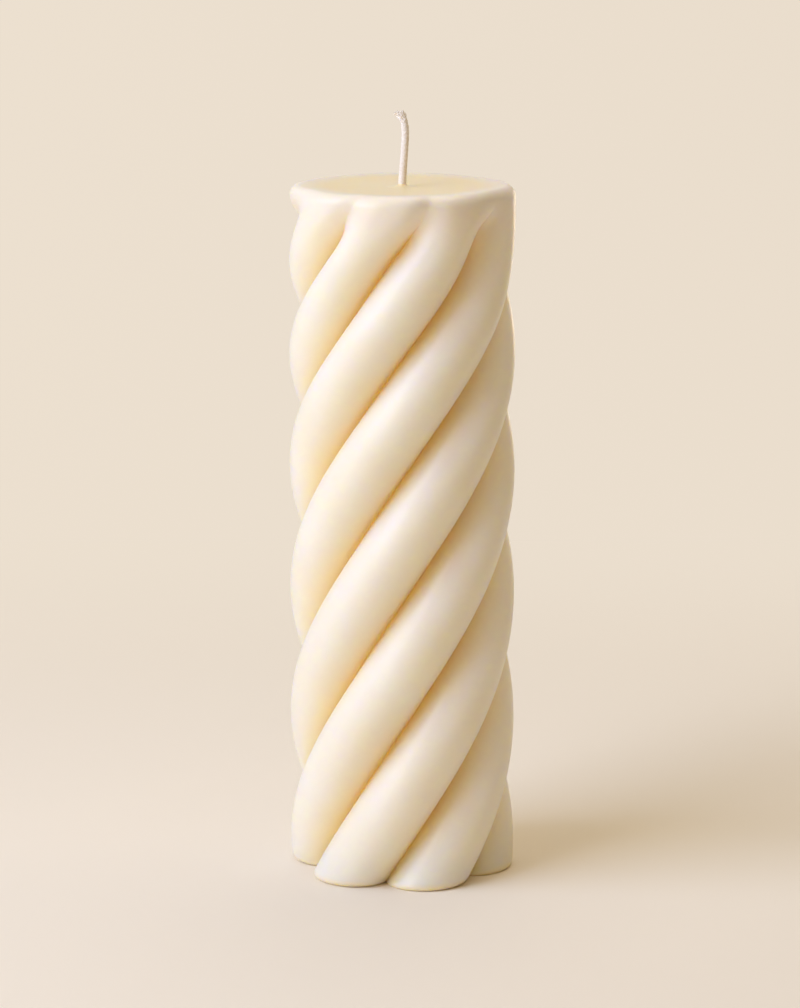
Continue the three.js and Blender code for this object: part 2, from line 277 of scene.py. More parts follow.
# mm: the bore for the wick, its wider mouth and the level spot round it, then the room for the sustainer
BORE, BORE_MOUTH, MOUTH_DEPTH, LEVEL_SPOT = 1.5, 3.0, 1.5, 6.0
RECESS, RECESS_TOP, NECK_HOLE, NECK_HOLE_TOP, NECK_FILLET = 7.8, 1.4, 2.2, 7.1, 0.8
TOP_LEVEL = PILLAR["height"] - TOP_DISH


def ease(t):
    """0 up to the start, 1 from the end on, and a smooth step between them."""
    t = min(max(t, 0), 1)
    return t * t * (3 - 2 * t)


def crown_radius(z):
    """Radius over the lobe crowns at a height: the casting is drawn in a little towards the top."""
    return (PILLAR["foot"] + (PILLAR["top"] - PILLAR["foot"]) * z / PILLAR["height"]) / 2


def groove_share(z):
    """Share of the groove's depth at a height: all of it on the shaft, easing out under the rim."""
    return GROOVE_AT_RIM + (1 - GROOVE_AT_RIM) * ease((PILLAR["height"] - z - RIM_BAND) / GROOVE_RUN_OUT)


def half_width(crown, groove, lobe, lobes):
    """Half the width of an elliptic lobe that meets its neighbour at the bottom of the groove."""
    crease, half = crown - groove, lobe / 2
    along = (crease * cos(pi / lobes) - (crown - half)) / half
    return crease * sin(pi / lobes) / sqrt(1 - along ** 2)


lobe_half_width = half_width(crown_radius(WAIST), PILLAR["groove"] + GROOVE_FLOOR,
                             PILLAR["lobe"], PILLAR["lobes"])
print(f"a lobe is {PILLAR['lobe']} mm thick and {2 * lobe_half_width:.1f} mm wide")

# %% The profile that the rings follow
SHAFT_RINGS, EDGE_RINGS, FACE_RINGS, BORE_RINGS, FOOT_RINGS = 228, 9, 13, 28, 7


def pillar_profile():
    """(radius over the crowns, height, share of the groove), once round the cut face of the casting."""
    tall = PILLAR["height"]
    foot, rim = crown_radius(0) - FOOT_EDGE, crown_radius(tall) - TOP_EDGE
    quarter = np.linspace(0, pi / 2, EDGE_RINGS)
    points = [(RECESS + (foot - RECESS) * s, 0, s) for s in np.linspace(0, 1, FOOT_RINGS)[:-1]]
    for a in quarter[:-1]:
        points.append((crown_radius(0) - FOOT_EDGE * (1 - sin(a)), FOOT_EDGE * (1 - cos(a)), 1))
    for z in np.linspace(FOOT_EDGE, tall - TOP_EDGE, SHAFT_RINGS)[:-1]:
        points.append((crown_radius(z), z, groove_share(z)))
    for a in quarter:
        z = tall - TOP_EDGE * (1 - sin(a))
        points.append((crown_radius(z) - TOP_EDGE * (1 - cos(a)), z, groove_share(z)))
    for s in np.linspace(0, 1, FACE_RINGS)[1:]:
        z = tall - TOP_DISH * sin(pi / 2 * s)
        points.append((rim + (LEVEL_SPOT - rim) * s, z, GROOVE_AT_RIM * (1 - s)))
    points.append((BORE_MOUTH, TOP_LEVEL, 0))
    bore_foot = NECK_HOLE_TOP + NECK_HOLE - BORE
    points += [(BORE, z, 0) for z in np.linspace(TOP_LEVEL - MOUTH_DEPTH, bore_foot, BORE_RINGS)]
    points.append((NECK_HOLE, NECK_HOLE_TOP, 0))
    for a in quarter[::2]:
        points.append((NECK_HOLE + NECK_FILLET * (1 - cos(a)), RECESS_TOP + NECK_FILLET * (1 - sin(a)), 0))
    return points + [(RECESS, RECESS_TOP, 0), (RECESS, 0, 0)]


profile = pillar_profile()
print("rings in the casting:", len(profile))

# %% The tree that wraps a lobed, twisted skin round a profile
TWIST_SIZES = {
    "Lobes": PILLAR["lobes"], "Columns per Lobe": 44, "Crown Radius": 0.0, "Half Thickness": 0.0,
    "Half Width": 0.0, "Groove Depth": 0.0, "Groove Floor": 0.0, "First Crown": 0.0, "Height": 0.0,
    "Foot Lead": 0.0, "Top Lead": 0.0, "Lead Easing": 0.0, "Gather Right": 0.0, "Gather Right Height": 0.0,
    "Gather Left": 0.0, "Gather Left Height": 0.0, "Material": cast_wax}
SHARP_CORNER = radians(40)    # edges that turn more than this stay crisp
WELD = 0.002 * MM             # points nearer to each other than this become one


def lobed_twist_tree():
    """Wraps a grid round Z: columns along the lobes, rings along the profile, turned by the twist."""
    tree, put, size, out = new_tree("lobed_twist", TWIST_SIZES)
    rings = put("GeometryNodeAttributeDomainSize", (size["Geometry"],), component="MESH").outputs[0]
    columns = put("MULTIPLY_ADD", (size["Lobes"], size["Columns per Lobe"], 1.0))
    grid = put("GeometryNodeMeshGrid", (1.0, 1.0, columns, rings))
    across = put("ShaderNodeSeparateXYZ", (grid.outputs["UV Map"],)).outputs
    last_ring = put("SUBTRACT", (rings, 1.0))
    ring = put("ROUND", (put("MULTIPLY", (across[1], last_ring)),))
    position = put("GeometryNodeInputPosition")
    drawn = put("GeometryNodeSampleIndex",
                {"Geometry": size["Geometry"], "Value": position, "Index": ring}, data_type="FLOAT_VECTOR")
    drawn = put("ShaderNodeSeparateXYZ", (drawn,)).outputs
    share_here = put("GeometryNodeInputNamedAttribute", ("share",), data_type="FLOAT")
    share = put("GeometryNodeSampleIndex",
                {"Geometry": size["Geometry"], "Value": share_here, "Index": ring}, data_type="FLOAT")

    # the angle inside a lobe, from crease to crease, with the columns crowded where the wall is steep
    lobe_place = put("MULTIPLY", (across[0], size["Lobes"]))
    lobe_turn = put("DIVIDE", (2 * pi, size["Lobes"]))
    from_crown = put("SUBTRACT", (put("FRACT", (lobe_place,)), 0.5))
    swing = put("SINE", (put("MULTIPLY", (from_crown, pi)),))
    inside = put("MULTIPLY", (put("MULTIPLY", (swing, lobe_turn)), 0.5))

    # where the ray at that angle leaves the ellipse of the lobe: the larger root of a square equation
    middle = put("SUBTRACT", (size["Crown Radius"], size["Half Thickness"]))
    thin = put("POWER", (size["Half Thickness"], 2.0))
    wide = put("POWER", (size["Half Width"], 2.0))
    cosine = put("COSINE", (inside,))
    sine = put("SINE", (inside,))
    square = put("ADD", (put("DIVIDE", (put("POWER", (cosine, 2.0)), thin)),
                               put("DIVIDE", (put("POWER", (sine, 2.0)), wide))))
    linear = put("DIVIDE", (put("MULTIPLY", (middle, cosine)), thin))
    constant = put("DIVIDE", (put("POWER", (middle, 2.0)), thin))
    constant = put("SUBTRACT", (constant, 1.0))
    root = put("SUBTRACT", (put("MULTIPLY", (linear, linear)), put("MULTIPLY", (square, constant))))
    root = put("SQRT", (put("MAXIMUM", (root, 0.0)),))
    leaves = put("DIVIDE", (put("ADD", (linear, root)), square))
    wall_depth = put("SUBTRACT", (size["Crown Radius"], leaves))
    cut = put("SMOOTH_MIN", (wall_depth, size["Groove Depth"], size["Groove Floor"]))

    # where a groove runs out it also turns from a narrow cut into a soft hollow, a squared cosine
    wave = put("COSINE", (put("MULTIPLY", (swing, pi)),))
    wave = put("MULTIPLY_ADD", (wave, -0.5, 0.5))
    hollow = put("MULTIPLY", (size["Groove Depth"], put("MULTIPLY", (wave, wave))))
    form = put("MULTIPLY_ADD", (put("SUBTRACT", (cut, hollow)), share, hollow))
    depth = put("MULTIPLY", (share, form))

    # the twist: its lead shortens towards the top
    climbed = put("DIVIDE", (drawn[2], size["Height"]))
    turns = put("DIVIDE", (size["Height"], size["Foot Lead"]))
    gained = put("SUBTRACT", (put("DIVIDE", (size["Height"], size["Top Lead"])), turns))
    power = put("ADD", (size["Lead Easing"], 1.0))
    late = put("DIVIDE", (put("POWER", (climbed, power)), power))
    wound = put("ADD", (put("MULTIPLY", (turns, climbed)), put("MULTIPLY", (gained, late))))
    twist = put("MULTIPLY", (wound, 2 * pi))
    lobe_angle = put("MULTIPLY", (put("FLOOR", (lobe_place,)), lobe_turn))
    crown_angle = put("ADD", (put("ADD", (size["First Crown"], twist)), lobe_angle))
    even = put("ADD", (crown_angle, inside))

    # under the top the grooves crowd towards the front, on the right over a shorter height than on the left
    under = put("SUBTRACT", (size["Height"], drawn[2]))
    aside = put("SINE", (even,))
    to_right = put("MAXIMUM", (aside, 0.0))
    to_left = put("POWER", (put("MINIMUM", (aside, 0.0)), 2.0))
    crowded = []
    for side, pull in (("Right", to_right), ("Left", to_left)):
        start = put("DIVIDE", (under, size[f"Gather {side} Height"]))
        near = put("MAXIMUM", (put("SUBTRACT", (1.0, start)), 0.0))
        near = put("MULTIPLY", (put("POWER", (near, 2.0)), size[f"Gather {side}"]))
        crowded.append(put("MULTIPLY", (near, pull)))
    angle = put("ADD", (put("SUBTRACT", (even, crowded[0])), crowded[1]))
    radius = put("SUBTRACT", (drawn[0], depth))
    forwards = put("MULTIPLY", (radius, put("COSINE", (angle,))))
    wrapped = put("ShaderNodeCombineXYZ", (
        put("MULTIPLY", (radius, put("SINE", (angle,)))),
        put("MULTIPLY", (forwards, -1.0)), drawn[2]))

    # the columns crowd together at the creases, so the depth is stored before anything moves
    share_of_depth = put("DIVIDE", (depth, size["Groove Depth"]))
    marked = put("GeometryNodeStoreNamedAttribute",
                 {"Geometry": grid, "Name": "groove", "Value": share_of_depth},
                 data_type="FLOAT", domain="POINT")
    placed = put("GeometryNodeSetPosition", {"Geometry": marked, "Position": wrapped})
    welded = put("GeometryNodeMergeByDistance", {"Geometry": placed, "Distance": WELD})
    smooth = put("GeometryNodeSetShadeSmooth", {"Geometry": welded, "Shade Smooth": True}, domain="FACE")
    turn = put("GeometryNodeInputMeshEdgeAngle").outputs["Unsigned Angle"]
    corner = put("FunctionNodeCompare", (turn, SHARP_CORNER), operation="GREATER_THAN", data_type="FLOAT")
    crisp = put("GeometryNodeSetShadeSmooth",
                {"Geometry": smooth, "Selection": corner, "Shade Smooth": False}, domain="EDGE")
    real = put("GeometryNodeRealizeInstances", (crisp,))
    dressed = put("GeometryNodeSetMaterial", {"Geometry": real, "Material": size["Material"]})
    tree.links.new(dressed.outputs[0], out["Geometry"])
    return tree


lobed_twist = lobed_twist_tree()
print("nodes in the tree:", len(lobed_twist.nodes))

# %% Cast the pillar
def wrap(name, profile, sizes):
    """Runs the tree round a profile of (radius, height, share) in millimetres."""
    points = [(r * MM, 0, z * MM) for r, z, share in profile]
    carrier = line_carrier(points, share=[share for r, z, share in profile])
    return grow(name, lobed_twist, carrier, {**TWIST_SIZES, **sizes})


pillar = wrap("twisted_casting", profile, {
    "Crown Radius": crown_radius(WAIST) * MM, "Half Thickness": PILLAR["lobe"] / 2 * MM,
    "Half Width": lobe_half_width * MM, "Groove Depth": PILLAR["groove"] * MM,
    "Groove Floor": GROOVE_FLOOR * MM, "First Crown": radians(FIRST_CROWN),
    "Height": PILLAR["height"] * MM, "Foot Lead": FOOT_LEAD * MM, "Top Lead": TOP_LEAD * MM,
    "Lead Easing": LEAD_EASING,
    "Gather Right": radians(GATHER_RIGHT), "Gather Right Height": GATHER_RIGHT_HEIGHT * MM,
    "Gather Left": radians(GATHER_LEFT), "Gather Left Height": GATHER_LEFT_HEIGHT * MM})
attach(pillar, "root")
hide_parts("wax_pillar")
describe(pillar)

# %% [markdown]
# The wick is a square plait of eight cotton yarns round a soft core that fills it. Four yarns wind to the
# right and four to the left, and each goes over and under the ones it meets. Near the top of the wax it has
# drunk some and is a little thicker, and its cut end has come apart into tufts. Such a plait could be
# modelled yarn by yarn, but it follows one rule, so a tree makes it: the middle line of the wick is copied
# once per yarn, and every copy is wound round it while it moves in and out in step with the crossings. The
# profile that is swept along keeps its own position as an attribute, which later lets the material draw the
# twist of the cotton round each yarn.

# %% Sizes of the wick
WICK = dict(free=21.8, lean=4.0, settling=3.0, curl=50.0, curl_length=11.6, curl_easing=3.0)
WICK_FOOT = 0.6               # mm above the floor, inside the sustainer
YARNS, YARN_RADIUS, BRAID_RADIUS, CORE_RADIUS = 8, 0.42, 0.68, 1.04
WEAVE = 0.03                  # mm by which a yarn moves in and out at the crossings
PLAIT_LEAD = 6.4              # mm along the wick for one turn of a yarn
SOAKED_LENGTH, SOAKED = 8.0, 0.12    # mm above and below the top that drank wax, and how much they swell
LOOSE_LENGTH, FLARE = 3.8, 0.2       # mm of the end that came apart, and how much wider it opens
TUFTS, TUFT_LEAN = 3, (-0.95, 0.5)   # tufts at the end, and how far the first and the last one lean
FIBRES, FIBRE_RADIUS, SPLAY = 36, 0.26, 1.05     # thick enough to show in the picture


def wick_line(steps=120):
    """Middle line of the wick: straight inside the wax, then it leans right and curls back to the left."""
    stride, x, z = WICK["free"] / steps, 0.0, TOP_LEVEL
    points = [(0, 0, WICK_FOOT * MM)]
    for step in range(steps + 1):
        points.append((x * MM, 0, z * MM))
        along = (step + 0.5) * stride
        curled = max(0, (along - WICK["free"] + WICK["curl_length"]) / WICK["curl_length"])
        lean = WICK["lean"] * ease(along / WICK["settling"])
        heading = radians(lean - WICK["curl"] * curled ** WICK["curl_easing"])
        x += sin(heading) * stride
        z += cos(heading) * stride
    return points


tip = wick_line()[-1]
print("tip of the wick:", [round(v / MM, 2) for v in tip])

# %% The tree that plaits the wick
WICK_SIZES = {
    "Yarns": YARNS, "Yarn Radius": 0.0, "Braid Radius": 0.0, "Core Radius": 0.0, "Weave": 0.0, "Lead": 0.0,
    "Wax Level": 0.0, "Soaked Length": 0.0, "Soaked": 0.0, "Loose Length": 0.0, "Flare": 0.0,
    "Fibres": FIBRES, "Fibre Radius": 0.0, "Splay": 0.0, "Seed": 7, "Material": cast_wax}
STEP = 0.3 * MM               # between two points along a yarn
YARN_SIDES, CORE_SIDES = 7, 16
YARN_ENDS = 0.9945, 0.9985    # shares of the line at which the yarns are cut
CORE_END = 0.988              # the core is cut shorter
YARN_THINS = 0.1              # share of its thickness that a yarn loses towards its end
TUFT_BEND = 1.8               # a tuft bends aside with this power of the place in the loose end
TUFT_REACH = -0.75            # share of the bend by which the left tuft reaches on and the right falls back
YARN_BENDS = 0.75, 1.15       # how much less or more than its tuft one yarn bends
FIBRE_PLACES = 0.1, 1.35      # where fibres stand, as shares of the radius of the plait
FIBRE_STRAYS = 0.0, 0.3       # how far they stray from their tuft, as shares of the splay
FIBRE_START, FIBRE_ENDS = 0.25, (0.8, 1.0)       # shares of the loose end


def plait_tree():
    """Plaits yarns round a line, parts them into tufts at its end and lets fibres stand out there."""
    tree, put, size, out = new_tree("plaited_wick", WICK_SIZES)

    def thick_line(line, radius, sides, scale=1.0):
        """Sweeps a circle along a line. Its own points are kept as the attribute round, for the material."""
        circle = put("GeometryNodeCurvePrimitiveCircle", {"Resolution": sides, "Radius": radius})
        outwards = put("ShaderNodeVectorMath", (put("GeometryNodeInputPosition"),), operation="NORMALIZE")
        kept = put("GeometryNodeStoreNamedAttribute",
                   {"Geometry": circle.outputs[0], "Name": "round", "Value": outwards},
                   data_type="FLOAT_VECTOR", domain="POINT")
        return put("GeometryNodeCurveToMesh",
                   {"Curve": line, "Profile Curve": kept, "Scale": scale, "Fill Caps": True})

    # each point of the line keeps its length from the foot, and how far it lies in the loose end
    line = put("GeometryNodeMeshToCurve", (size["Geometry"],))
    line = put("GeometryNodeResampleCurve", {"Curve": line, "Length": STEP}, mode="LENGTH")
    length_here = put("GeometryNodeSplineParameter").outputs["Length"]
    whole = put("GeometryNodeSplineLength").outputs[0]
    to_end = put("DIVIDE", (put("SUBTRACT", (whole, length_here)), size["Loose Length"]))
    loose_here = put("MAXIMUM", (put("SUBTRACT", (1.0, to_end)), 0.0))
    for label, value in (("along", length_here), ("loose", loose_here)):
        line = put("GeometryNodeStoreNamedAttribute",
                   {"Geometry": line, "Name": label, "Value": value}, data_type="FLOAT", domain="POINT")
    along, loose = [put("GeometryNodeInputNamedAttribute", (label,), data_type="FLOAT").outputs[0]
                    for label in ("along", "loose")]
    loose_squared = put("MULTIPLY", (loose, loose))

    # near the wax level the plait is thicker
    from_level = put("ABSOLUTE", (put("SUBTRACT", (along, size["Wax Level"])),))
    dry = put("DIVIDE", (from_level, size["Soaked Length"]))
    wet = put("MAXIMUM", (put("SUBTRACT", (1.0, dry)), 0.0))
    swollen = put("MULTIPLY_ADD", (wet, size["Soaked"], 1.0))

    # the frame of the line: it bends in one plane only, so Y is always at right angles to it
    forwards = put("GeometryNodeInputTangent")
    sideways = put("ShaderNodeVectorMath", ((0, 1, 0), forwards), operation="CROSS_PRODUCT")

    def beside(angle, distance):
        """The way from the line to a place at this angle and distance round it."""
        across = put("MULTIPLY", (distance, put("COSINE", (angle,))))
        deep = put("MULTIPLY", (distance, put("SINE", (angle,))))
        across = put("ShaderNodeVectorMath", (sideways, across), operation="SCALE")
        deep = put("ShaderNodeCombineXYZ", (0.0, deep, 0.0))
        return put("ShaderNodeVectorMath", (across, deep), operation="ADD")

    def chance(number, low, high, step):
        """A number drawn for each copy. Each use has a step of its own, so that the draws differ."""
        seed = put("ADD", (size["Seed"], step))
        return put("FunctionNodeRandomValue", {"Min": low, "Max": high, "ID": number, "Seed": seed},
                   data_type="FLOAT")

    def parting(number, step):
        """How the end opens: one tuft bends on to the left and reaches further, one stays on the right."""
        tuft = put("FLOOR", (chance(number, 0.0, TUFTS - 0.01, step),))
        lean = put("ShaderNodeMapRange", (tuft, 0.0, TUFTS - 1.0, *TUFT_LEAN))
        bent = put("MULTIPLY", (put("POWER", (loose, TUFT_BEND)), size["Splay"]))
        bent = put("MULTIPLY", (bent, lean))
        bent = put("MULTIPLY", (bent, chance(number, *YARN_BENDS, step + 10.0)))
        across = put("ShaderNodeVectorMath", (sideways, bent), operation="SCALE")
        onwards = put("MULTIPLY", (bent, TUFT_REACH))
        onwards = put("ShaderNodeVectorMath", (forwards, onwards), operation="SCALE")
        return put("ShaderNodeVectorMath", (across, onwards), operation="ADD")

    # yarns: even copies wind to the right and odd ones to the left, and both weave as they cross
    copies = put("GeometryNodeDuplicateElements", {"Geometry": line, "Amount": size["Yarns"]},
                 domain="SPLINE")
    number = copies.outputs["Duplicate Index"]
    odd = put("FLOORED_MODULO", (number, 2.0))
    way = put("SUBTRACT", (1.0, put("MULTIPLY", (odd, 2.0))))
    each_way = put("MULTIPLY", (size["Yarns"], 0.5))
    pair = put("FLOOR", (put("MULTIPLY", (number, 0.5)),))
    start = put("MULTIPLY", (put("DIVIDE", (pair, each_way)), 2 * pi))
    turned = put("MULTIPLY", (put("DIVIDE", (along, size["Lead"])), 2 * pi))
    angle = put("ADD", (put("MULTIPLY", (way, turned)), start))
    crossing = put("COSINE", (put("MULTIPLY", (turned, each_way)),))
    weave = put("MULTIPLY", (put("MULTIPLY", (way, size["Weave"])), crossing))
    distance = put("ADD", (size["Braid Radius"], weave))
    opened = put("MULTIPLY_ADD", (loose_squared, size["Flare"], 1.0))
    distance = put("MULTIPLY", (distance, put("MULTIPLY", (opened, swollen))))
    wound = put("ShaderNodeVectorMath", (beside(angle, distance), parting(number, 1.0)), operation="ADD")
    yarns = put("GeometryNodeSetPosition", {"Geometry": copies, "Offset": wound})
    yarns = put("GeometryNodeTrimCurve", {"Curve": yarns, "End": chance(number, *YARN_ENDS, 2.0)},
                mode="FACTOR")
    thinner = put("SUBTRACT", (1.0, put("MULTIPLY", (loose_squared, YARN_THINS))))
    yarns = thick_line(yarns, size["Yarn Radius"], YARN_SIDES, thinner)

    # core: one soft strand in the middle
    core = put("GeometryNodeTrimCurve", {"Curve": line, "End": CORE_END}, mode="FACTOR")
    core = thick_line(core, size["Core Radius"], CORE_SIDES, swollen)

    # loose fibres: short copies of the end of the line, each with its own place and its own way out
    line_length = put("GeometryNodeCurveLength", (line,))
    loose_start = put("SUBTRACT", (line_length, size["Loose Length"]))
    end = put("GeometryNodeTrimCurve", {"Curve": line, "Start": loose_start, "End": 1.0}, mode="LENGTH")
    end = put("GeometryNodeResampleCurve", {"Curve": end, "Count": 10}, mode="COUNT")
    fibres = put("GeometryNodeDuplicateElements", {"Geometry": end, "Amount": size["Fibres"]},
                 domain="SPLINE")
    number = fibres.outputs["Duplicate Index"]
    from_middle = put("MULTIPLY", (size["Braid Radius"], chance(number, *FIBRE_PLACES, 4.0)))
    root = beside(chance(number, 0.0, 2 * pi, 3.0), from_middle)
    stray = put("MULTIPLY", (put("POWER", (loose, 2.0)), size["Splay"]))
    stray = put("MULTIPLY", (stray, chance(number, *FIBRE_STRAYS, 5.0)))
    stray = beside(chance(number, 0.0, 2 * pi, 6.0), stray)
    spread = put("ShaderNodeVectorMath", (root, stray), operation="ADD")
    spread = put("ShaderNodeVectorMath", (spread, parting(number, 7.0)), operation="ADD")
    fibres = put("GeometryNodeSetPosition", {"Geometry": fibres, "Offset": spread})
    fibres = put("GeometryNodeTrimCurve",
                 {"Curve": fibres, "Start": FIBRE_START, "End": chance(number, *FIBRE_ENDS, 8.0)},
                 mode="FACTOR")
    fibres = thick_line(fibres, size["Fibre Radius"], YARN_SIDES)

    joined = put("GeometryNodeJoinGeometry")
    for part in (fibres, core, yarns):
        tree.links.new(part.outputs[0], joined.inputs[0])
    smooth = put("GeometryNodeSetShadeSmooth", {"Geometry": joined, "Shade Smooth": True}, domain="FACE")
    real = put("GeometryNodeRealizeInstances", (smooth,))
    dressed = put("GeometryNodeSetMaterial", {"Geometry": real, "Material": size["Material"]})
    tree.links.new(dressed.outputs[0], out["Geometry"])
    return tree


plait = plait_tree()
print("nodes in the tree:", len(plait.nodes))

# %% [markdown]
# Candle cotton is white and has been drawn through thin wax, so that it stands up and lights at once. The
# wax fills it and leaves it smoother than dry cotton. Each yarn is twisted from three plies, which show as
# fine slanting lines. The material draws them from the position round the yarn and the length along it,
# gives what lies between the plies a slightly darker white as painted shade, and lets a soft sheen stand
# for the loose fibres on the surface.

# %% Primed cotton
COTTON_WHITE, COTTON_PAINTED_SHADE = "#f9f5ef", "#f4eee6"
PLIES, PLY_LEAD = 3, 2.2 * MM
FUZZ_SIZE = 0.25 * MM         # across one tuft of fibre ends, drawn coarser than real so that it shows


def primed_cotton():
    """Twisted plies drawn round each yarn, with painted shade in the hollows between them."""
    material, put = new_material("plaited_cotton_primed_with_wax")
    around = put("ShaderNodeAttribute", attribute_name="round").outputs["Vector"]
    around = put("ShaderNodeSeparateXYZ", (around,)).outputs
    along = put("ShaderNodeAttribute", attribute_name="along").outputs["Fac"]
    along = put("MULTIPLY", (along, 2 * pi * PLIES / PLY_LEAD))
    angle = put("MULTIPLY", (put("ARCTAN2", (around[1], around[0])), float(PLIES)))
    plies = put("COSINE", (put("ADD", (angle, along)),))
    ridge = put("MULTIPLY_ADD", (plies, 0.5, 0.5))
    place = put("ShaderNodeTexCoord").outputs["Object"]
    fuzz = put("ShaderNodeTexNoise", {"Vector": place, "Scale": 1 / FUZZ_SIZE, "Detail": 3.0})
    # painted shade between the plies, broken up by the fuzz
    shade = put("ShaderNodeMapRange", (put("MULTIPLY", (ridge, fuzz)), 0.0, 0.5, 0.0, 1.0))
    colour = put("ShaderNodeMix",
                 {"Factor": shade, "A": hex_colour(COTTON_PAINTED_SHADE), "B": hex_colour(COTTON_WHITE)},
                 data_type="RGBA")
    height = put("ADD", (ridge, put("MULTIPLY", (fuzz, 0.5))))
    skin = put("ShaderNodeBump", {"Strength": 0.1, "Distance": 0.02 * MM, "Height": height})
    shader = put("ShaderNodeBsdfPrincipled", {
        "Base Color": colour.outputs[2], "Roughness": 0.6, "IOR": 1.47, "Normal": skin,
        "Sheen Weight": 0.25, "Sheen Roughness": 0.5})
    put("ShaderNodeOutputMaterial", {"Surface": shader})
    return material


primed = primed_cotton()
wick = grow("plaited_wick", plait, line_carrier(wick_line()), {
    **WICK_SIZES, "Yarn Radius": YARN_RADIUS * MM, "Braid Radius": BRAID_RADIUS * MM,
    "Core Radius": CORE_RADIUS * MM, "Weave": WEAVE * MM, "Lead": PLAIT_LEAD * MM,
    "Wax Level": (TOP_LEVEL - WICK_FOOT) * MM, "Soaked Length": SOAKED_LENGTH * MM, "Soaked": SOAKED,
    "Loose Length": LOOSE_LENGTH * MM, "Flare": FLARE,
    "Fibre Radius": FIBRE_RADIUS * MM, "Splay": SPLAY * MM, "Material": primed})
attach(wick, "root")
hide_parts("wick")
describe(wick)
print("top of the wick:", max(v.co.z for v in wick.data.vertices) / MM)

# %% [markdown]
# When the casting is cold, the hole that the wick pin leaves is topped up with a drop of fresh wax. It runs
# out over the top for a few millimetres, where its edge melts into the cold wax, and it climbs the wick a
# little, because molten wax wets cotton. Its edge is never a true circle. The tree of the pillar serves
# again: three shallow hollows make the rim of the drop uneven, and there is no twist. The wax is the same
# blend, but the drop is thin, so light goes a short way.

# %% The drop that seals the wick
SEAL = dict(inner=1.12, plug=2.576, foot=1.35, lip=4.6, climb=0.9)
RIM_WAX, TOP_WAX, PLUG_WAX = 0.1, 0.08, 0.15    # mm of wax at the rim, up the wick and at the plug's end
FUSED = 0.03                  # mm by which the rim has melted into the top
SEAL_HOLLOWS, SEAL_UNEVEN = 3, 0.35             # places where the rim goes in, and by how many mm
SEAL_LOBE = 7.0               # mm across the round shape between two of them
DROP_PATH = 0.2 * MM          # the longest path of light in the drop


def seal_profile():
    """Closed profile of (radius, height, share): plug, lip, hollow curve up the wick and the hole for it."""
    inner, plug, lip, climb = SEAL["inner"], SEAL["plug"], SEAL["lip"], SEAL["climb"]
    plug_foot = TOP_LEVEL - SEAL["foot"]
    points = [(inner, plug_foot, 0), (inner + PLUG_WAX, plug_foot, 0), (plug, TOP_LEVEL, 0)]
    points += [(plug + (lip - plug) * s, TOP_LEVEL - FUSED, s) for s in (0.5, 0.9)]
    for a in np.linspace(0, pi / 2, 25):
        radius = lip + (inner + TOP_WAX - lip) * sin(a)
        height = RIM_WAX * min(1, 4 * a) + (climb - RIM_WAX) * (1 - cos(a)) ** 1.2
        points.append((radius, TOP_LEVEL - FUSED / 2 + height, 1 - sin(a)))
    return points + [(inner, TOP_LEVEL + climb, 0), points[0]]


# the drop takes the painted shade of the open face at 0.8, and painted glow in its hollows
top_up_wax = wax_material("top_up_paraffin_wax_drop", "#faf3e6", "#f6ecd9", DROP_PATH, 0.34, 0.8)
seal = wrap("wick_seal_drop", seal_profile(), {
    "Lobes": SEAL_HOLLOWS, "Columns per Lobe": 32, "Crown Radius": SEAL["lip"] * MM,
    "Half Thickness": SEAL_LOBE / 2 * MM,
    "Half Width": half_width(SEAL["lip"], SEAL_UNEVEN, SEAL_LOBE, SEAL_HOLLOWS) * MM,
    "Groove Depth": SEAL_UNEVEN * MM, "Groove Floor": 0.2 * MM, "First Crown": radians(25),
    "Material": top_up_wax})
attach(seal, "root")
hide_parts("wick_seal")
describe(seal)

# %% [markdown]
# The sustainer is stamped from tinplate 0.4 mm thick. A punch draws the neck out of the disc, a ring pressed
# into the disc stiffens it, and pliers pinch the neck on to the wick in four places. Its profile goes
# through the same tree, where the grooves become the four dents. Rolled tinplate is bright but not a mirror:
# rolling leaves fine lines that all run one way, and stamping leaves the skin a little uneven.

# %% The profile of the stamping
SHEET, DISC, DISC_FOOT, NECK_IN, NECK_OUT, NECK_TOP, BEND = 0.4, 7.5, 0.4, 1.5, 1.9, 6.8, 0.8
RING_RADIUS, RING_HALF, RING_HIGH = 5.2, 0.7, 0.3
DENTS, DENT_DEPTH, DENT_MIDDLE, DENT_HALF, DENT_LOBE = 4, 0.3, 4.2, 1.1, 2.0
SOFT = 0.06                   # mm by which the sheared edges are softened


def ring_height(radius):
    """Height of the pressed ring over the flat of the disc."""
    return RING_HIGH * (0.5 + 0.5 * cos(pi * min(abs(radius - RING_RADIUS) / RING_HALF, 1)))


def dent_share(z):
    """Share of the full dent at a height of the neck."""
    off = abs(z - DENT_MIDDLE) / DENT_HALF
    return 0.5 * cos(pi / 2 * off) if off < 1 else 0.0


